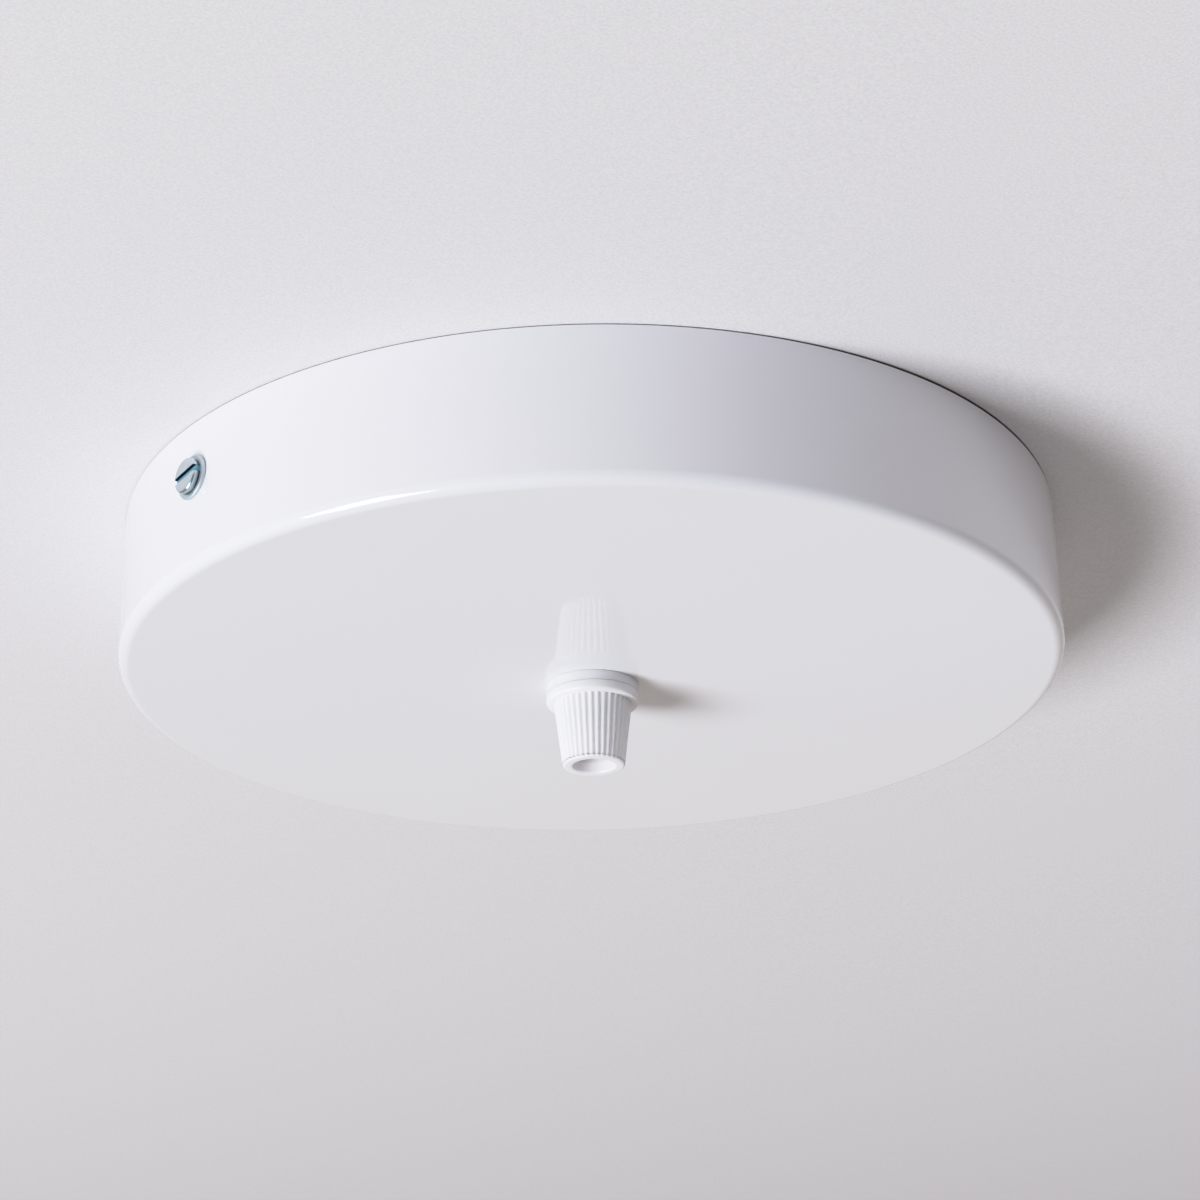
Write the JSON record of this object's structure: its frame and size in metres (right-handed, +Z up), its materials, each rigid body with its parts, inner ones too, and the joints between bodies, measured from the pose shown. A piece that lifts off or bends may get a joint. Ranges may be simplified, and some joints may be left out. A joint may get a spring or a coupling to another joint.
{
  "type": "electrical ceiling rose",
  "caption": "Round flat-bottomed ceiling rose in white powder-coated steel, fixed by side screws to a folded bracket, with a ribbed conical cord grip at its centre.",
  "frame": {"origin": "centre of the ceiling plane, midway between the bracket's two slots and on the axis of the canopy and cord grip", "axes": "+Z up into the ceiling, X along the mounting bracket and the side screws"},
  "size_m": [0.1532, 0.15, 0.0377],
  "materials": {
    "powder_coat": "semi-gloss white powder coat on drawn steel",
    "grip_nylon": "moulded white nylon, satin",
    "zinc_plate": "bright zinc plate with a blue passivation",
    "connector_nylon": "natural moulded nylon, slightly translucent",
    "brass": "machined and stamped brass"
  },
  "bodies": {
    "rose": {"canopy": "powder_coat", "mounting_bracket": "zinc_plate", "side_screws": "zinc_plate", "side_washers": "zinc_plate", "grip_base": "grip_nylon", "lock_nut": "zinc_plate", "toothed_washer": "zinc_plate", "earth_tag": "brass", "terminal_housing": "connector_nylon", "terminal_live": "brass", "terminal_earth": "brass", "terminal_neutral": "brass", "terminal_screws": "zinc_plate", "block_screws": "zinc_plate", "earth_screw": "zinc_plate", "earth_cup_washer": "zinc_plate"},
    "clamp": {"grip_collet": "grip_nylon"},
    "cap": {"grip_cap": "grip_nylon"}
  },
  "joints": [
    {"name": "clamp_slide", "type": "slide", "parent": "rose", "child": "clamp", "axis": [0, 0, -1], "range_m": [0, 0.003]},
    {"name": "cap_turn", "type": "hinge", "parent": "clamp", "child": "cap", "pos_m": [0, 0, -0.024], "axis": [0, 0, -1], "range_deg": [0, 1080]}
  ],
  "couplings": [
    {"joint": "cap_turn", "follows": "clamp_slide", "rad_per_m": 6283.2}
  ]
}
